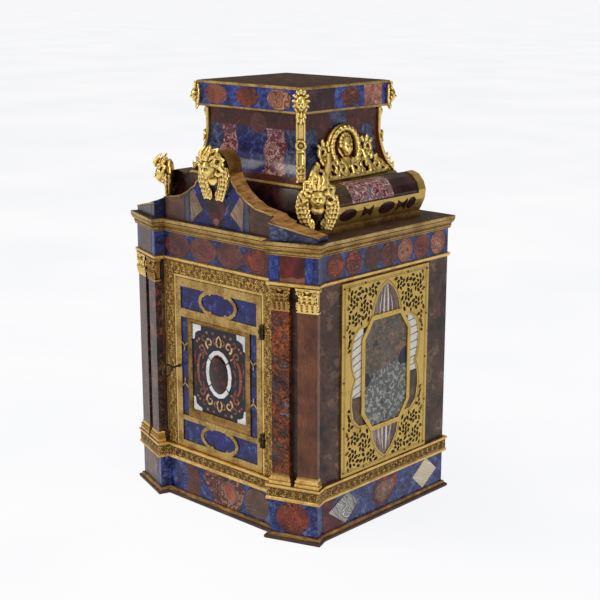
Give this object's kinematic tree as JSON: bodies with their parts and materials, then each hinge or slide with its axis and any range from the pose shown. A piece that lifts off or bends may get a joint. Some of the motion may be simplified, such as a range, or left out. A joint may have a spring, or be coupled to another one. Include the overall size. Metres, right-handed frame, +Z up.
{
  "type": "tabernacle",
  "caption": "Stone-veneered altar tabernacle with canted pilaster piers, gilt mounts, a hinged door, a curved pediment and a square neck on a cushion base.",
  "frame": {"origin": "on the ground plane under the middle of the cabinet's width, in the underside of the foot", "axes": "+Z up, -Y out of the door, +X to the right of somebody facing the door"},
  "size_m": [0.3736, 0.3313, 0.6],
  "materials": {
    "gilt": "fire-gilt bronze, worn bright on the edges and brown in the recesses",
    "dark_wood": "dark stained hardwood, worn",
    "moulding_wood": "gilded moulding with a brown wooden deck, rubbed",
    "lapis": "polished lapis lazuli with pale flecks",
    "agate": "polished banded agate",
    "jasper": "polished red and orange brecciated jasper",
    "purple_stone": "polished purple and pink-white breccia",
    "mottled_stone": "polished grey and brown mottled stone",
    "white_stone": "polished white stone",
    "dark_red_stone": "polished dark red cabochon",
    "dark_steel": "dark, handled iron with a little brown rust"
  },
  "bodies": {
    "cabinet": {"base_board": "dark_wood", "plinth": "lapis", "case_floor": "dark_wood", "plinth_band": "gilt", "back_board": "dark_wood", "case_ceiling": "dark_wood", "door_frame": "gilt", "side_board_right": "purple_stone", "side_board_left": "purple_stone", "pier_right": "purple_stone", "pier_left": "purple_stone", "pilaster_base_inner_right": "gilt", "pilaster_base_outer_right": "gilt", "pilaster_base_inner_left": "gilt", "pilaster_base_outer_left": "gilt", "pilaster_inner_right": "jasper", "pilaster_outer_right": "jasper", "pilaster_inner_left": "jasper", "pilaster_outer_left": "jasper", "capital_inner_right": "gilt", "capital_outer_right": "gilt", "capital_inner_left": "gilt", "capital_outer_left": "gilt", "architrave": "gilt", "frieze": "agate", "cornice": "moulding_wood", "side_stone_right": "mottled_stone", "side_stone_left": "mottled_stone", "side_plate_right": "gilt", "side_plate_left": "gilt", "hinge_upper_post": "dark_steel", "hinge_lower_post": "dark_steel", "cushion": "purple_stone", "cushion_band_right": "gilt", "cushion_band_left": "gilt", "neck_fillet": "gilt", "neck": "lapis", "block_fillet_low": "gilt", "block": "lapis", "block_fillet_top": "gilt", "top_board": "dark_wood", "pediment": "lapis", "cherub_middle": "gilt", "cherub_right": "gilt", "cherub_left": "gilt", "corner_mount_front_right": "gilt", "corner_mount_front_left": "gilt", "corner_mount_back_right": "gilt", "corner_mount_back_left": "gilt", "cartouche_right": "gilt", "cartouche_left": "gilt"},
    "door": {"door_leaf": "dark_wood", "door_stone": "lapis", "door_grille": "gilt", "panel_frame": "gilt", "oval_ring": "white_stone", "oval_stone": "dark_red_stone", "hinge_upper_door": "dark_steel", "hinge_lower_door": "dark_steel", "key": "dark_steel"}
  },
  "joints": [
    {"name": "door_hinge", "type": "hinge", "parent": "cabinet", "child": "door", "pos_m": [0.0853, -0.1364, 0], "axis": [0, 0, 1], "range_deg": [0, 105]}
  ]
}
